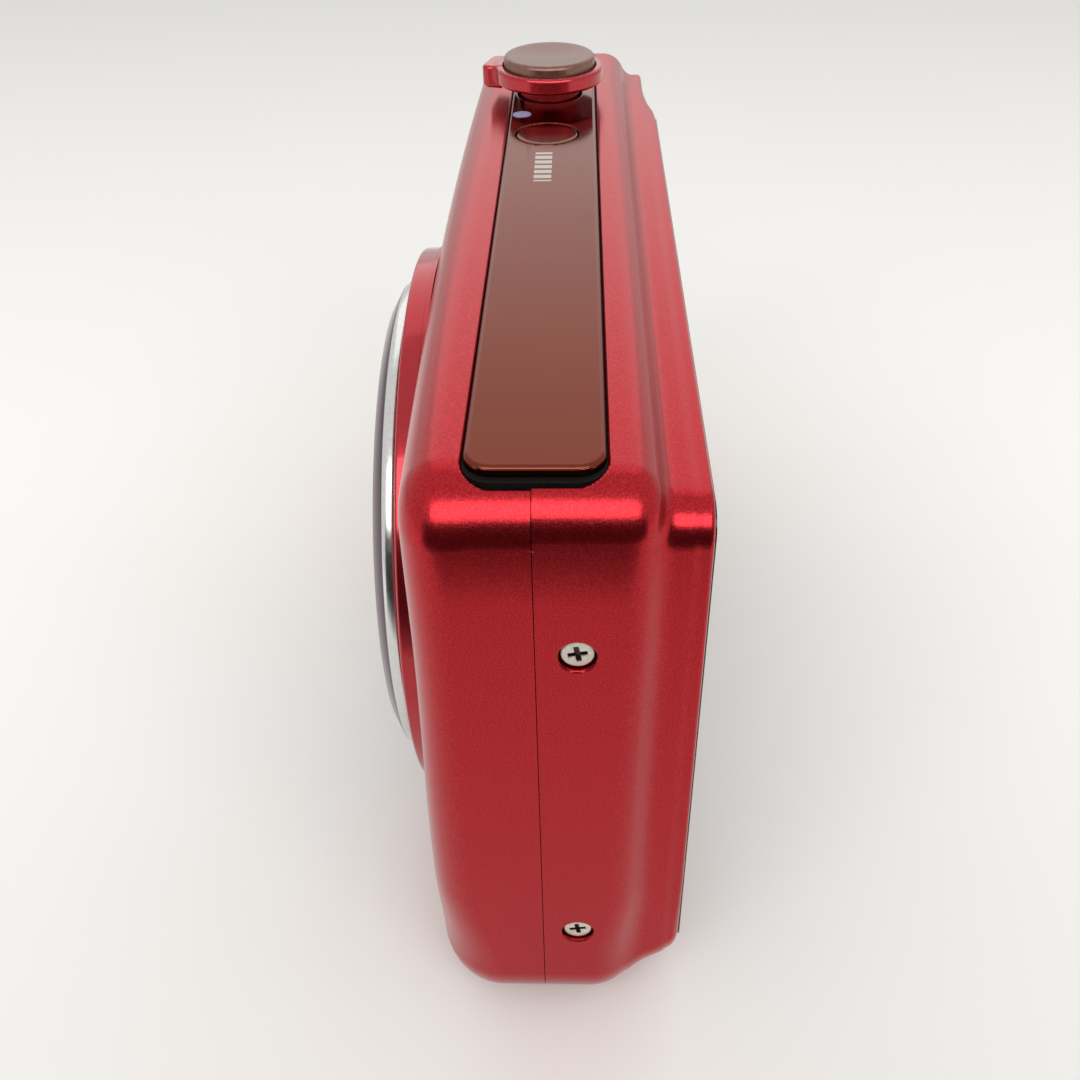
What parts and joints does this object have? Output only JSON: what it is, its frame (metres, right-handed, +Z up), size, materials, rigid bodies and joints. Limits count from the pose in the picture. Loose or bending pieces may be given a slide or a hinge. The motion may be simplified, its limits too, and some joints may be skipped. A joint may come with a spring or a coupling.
{
  "type": "compact digital camera",
  "caption": "Flat compact digital camera with a retracting zoom lens, top strip with shutter release and zoom collar, rear display and a base door.",
  "frame": {"origin": "centre of the footprint on the base plane, the plane the camera stands on", "axes": "+Z up; the lens looks along -Y and the display faces +Y; the shutter release is toward -X"},
  "size_m": [0.098, 0.0268, 0.0639],
  "materials": {
    "red_paint": "satin metallic red paint",
    "red_gloss": "glossy metallic red paint",
    "smoke_gloss": "glossy smoky brown plastic",
    "key_plastic": "satin grey-brown plastic",
    "black_gloss": "polished black",
    "black_plastic": "matte black",
    "chrome": "polished chrome",
    "screw_steel": "bright plated screw",
    "steel": "stamped steel",
    "barrel_metal": "dark anodised aluminium",
    "bare_aluminium": "bare aluminium",
    "contact_brass": "gold plated brass",
    "lens_glass": "coated optical glass",
    "window_plastic": "frosted clear window",
    "amber_window": "amber window",
    "blue_lamp": "blue lens of a small lamp",
    "board_green": "printed circuit board",
    "card_blue": "moulded plastic",
    "battery_wrap": "grey-black wrap",
    "sleeve_black": "capacitor sleeve",
    "catch_orange": "orange plastic"
  },
  "bodies": {
    "camera_body": {"front_cover": "red_paint", "rear_cover": "red_paint", "top_strip": "smoke_gloss", "end_screws": "screw_steel", "base_screws": "screw_steel", "lens_base_ring": "red_gloss", "lens_trim_ring": "chrome", "flash_window": "window_plastic", "flash_reflector": "bare_aluminium", "flash_tube": "lens_glass", "af_lamp_window": "amber_window", "lcd_panel": "black_gloss", "lcd_module": "black_plastic", "chassis_frame": "steel", "tripod_bush": "steel", "battery_cage": "black_plastic", "battery": "battery_wrap", "battery_contacts": "contact_brass", "card_slot": "steel", "memory_card": "card_blue", "main_board": "board_green", "flash_capacitor": "sleeve_black", "lens_housing": "black_plastic", "image_sensor": "black_gloss", "zoom_motor": "steel", "focus_motor": "black_plastic", "focus_rods": "steel", "strap_lug": "steel", "usb_socket": "steel", "speaker": "black_plastic", "microphone": "bare_aluminium", "top_board": "board_green", "power_lamp": "blue_lamp", "door_hinge_pin": "steel", "port_hinge_pin": "steel", "key_board": "board_green"},
    "shutter_release": {"shutter_button": "key_plastic"},
    "zoom_collar": {"zoom_lever": "red_gloss"},
    "power_key": {"power_button": "smoke_gloss"},
    "cam_drum": {"cam_ring": "black_plastic"},
    "outer_tube": {"outer_barrel": "barrel_metal"},
    "middle_tube": {"middle_barrel": "barrel_metal"},
    "inner_tube": {"inner_barrel": "barrel_metal", "name_ring": "black_plastic", "front_lens": "lens_glass"},
    "blade_upper": {"barrier_blade_upper": "black_plastic"},
    "blade_lower": {"barrier_blade_lower": "black_plastic"},
    "zoom_group": {"zoom_lens_group": "black_plastic"},
    "focus_group": {"focus_lens": "lens_glass"},
    "base_door": {"battery_door": "red_paint"},
    "battery_catch": {"battery_lock": "catch_orange"},
    "connector_flap": {"port_cover": "black_plastic"},
    "pad_key": {"selector_pad": "key_plastic"},
    "ok_key": {"ok_button": "key_plastic"},
    "menu_key": {"menu_button": "key_plastic"},
    "delete_key": {"delete_button": "key_plastic"},
    "play_key": {"play_button": "key_plastic"},
    "record_key": {"record_button": "key_plastic"}
  },
  "joints": [
    {"name": "shutter_press", "type": "slide", "parent": "camera_body", "child": "shutter_release", "axis": [0, 0, -1], "range_m": [0, 0.0008], "stiffness_N_per_m": 1500},
    {"name": "zoom_collar_turn", "type": "hinge", "parent": "camera_body", "child": "zoom_collar", "pos_m": [-0.0285, 0.00093, 0.0611], "axis": [0, 0, 1], "range_deg": [-20, 20], "stiffness_Nm_per_rad": 0.02},
    {"name": "power_press", "type": "slide", "parent": "camera_body", "child": "power_key", "axis": [0, 0, -1], "range_m": [0, 0.0004], "stiffness_N_per_m": 2000},
    {"name": "outer_barrel_slide", "type": "slide", "parent": "camera_body", "child": "outer_tube", "axis": [0, -1, 0], "range_m": [0, 0.01]},
    {"name": "middle_barrel_slide", "type": "slide", "parent": "outer_tube", "child": "middle_tube", "axis": [0, -1, 0], "range_m": [0, 0.009]},
    {"name": "inner_barrel_slide", "type": "slide", "parent": "middle_tube", "child": "inner_tube", "axis": [0, -1, 0], "range_m": [0, 0.007]},
    {"name": "zoom_group_slide", "type": "slide", "parent": "camera_body", "child": "zoom_group", "axis": [0, -1, 0], "range_m": [0, 0.012]},
    {"name": "cam_ring_turn", "type": "hinge", "parent": "camera_body", "child": "cam_drum", "pos_m": [0.0105, -0.00118, 0.0292], "axis": [0, -1, 0], "range_deg": [0, 150]},
    {"name": "focus_slide", "type": "slide", "parent": "camera_body", "child": "focus_group", "axis": [0, -1, 0], "range_m": [0, 0.0015]},
    {"name": "barrier_upper_turn", "type": "hinge", "parent": "inner_tube", "child": "blade_upper", "pos_m": [-0.001, -0.01137, 0.0292], "axis": [0, -1, 0], "range_deg": [0, 38]},
    {"name": "barrier_lower_turn", "type": "hinge", "parent": "inner_tube", "child": "blade_lower", "pos_m": [0.022, -0.01137, 0.0292], "axis": [0, -1, 0], "range_deg": [0, 38]},
    {"name": "battery_door_swing", "type": "hinge", "parent": "camera_body", "child": "base_door", "pos_m": [-0.0119, 0.00022, 0.0005], "axis": [0, -1, 0], "range_deg": [0, 90]},
    {"name": "battery_catch_slide", "type": "slide", "parent": "camera_body", "child": "battery_catch", "axis": [0, 1, 0], "range_m": [0, 0.0012], "stiffness_N_per_m": 200},
    {"name": "connector_flap_swing", "type": "hinge", "parent": "camera_body", "child": "connector_flap", "pos_m": [-0.0485, 0.00398, 0.0206], "axis": [0, -1, 0], "range_deg": [0, 90]},
    {"name": "selector_press", "type": "slide", "parent": "camera_body", "child": "pad_key", "axis": [0, -1, 0], "range_m": [0, 0.0003], "stiffness_N_per_m": 3000},
    {"name": "ok_press", "type": "slide", "parent": "camera_body", "child": "ok_key", "axis": [0, -1, 0], "range_m": [0, 0.0003], "stiffness_N_per_m": 3000},
    {"name": "menu_press", "type": "slide", "parent": "camera_body", "child": "menu_key", "axis": [0, -1, 0], "range_m": [0, 0.0003], "stiffness_N_per_m": 3000},
    {"name": "delete_press", "type": "slide", "parent": "camera_body", "child": "delete_key", "axis": [0, -1, 0], "range_m": [0, 0.0003], "stiffness_N_per_m": 3000},
    {"name": "play_press", "type": "slide", "parent": "camera_body", "child": "play_key", "axis": [0, -1, 0], "range_m": [0, 0.0003], "stiffness_N_per_m": 3000},
    {"name": "record_press", "type": "slide", "parent": "camera_body", "child": "record_key", "axis": [0, -1, 0], "range_m": [0, 0.0003], "stiffness_N_per_m": 3000}
  ],
  "couplings": [
    {"joint": "middle_barrel_slide", "follows": "outer_barrel_slide", "ratio": 0.89999},
    {"joint": "inner_barrel_slide", "follows": "outer_barrel_slide", "ratio": 0.69999},
    {"joint": "zoom_group_slide", "follows": "outer_barrel_slide", "ratio": 1.2},
    {"joint": "cam_ring_turn", "follows": "outer_barrel_slide", "rad_per_m": 261.8},
    {"joint": "barrier_lower_turn", "follows": "barrier_upper_turn", "ratio": 1}
  ]
}
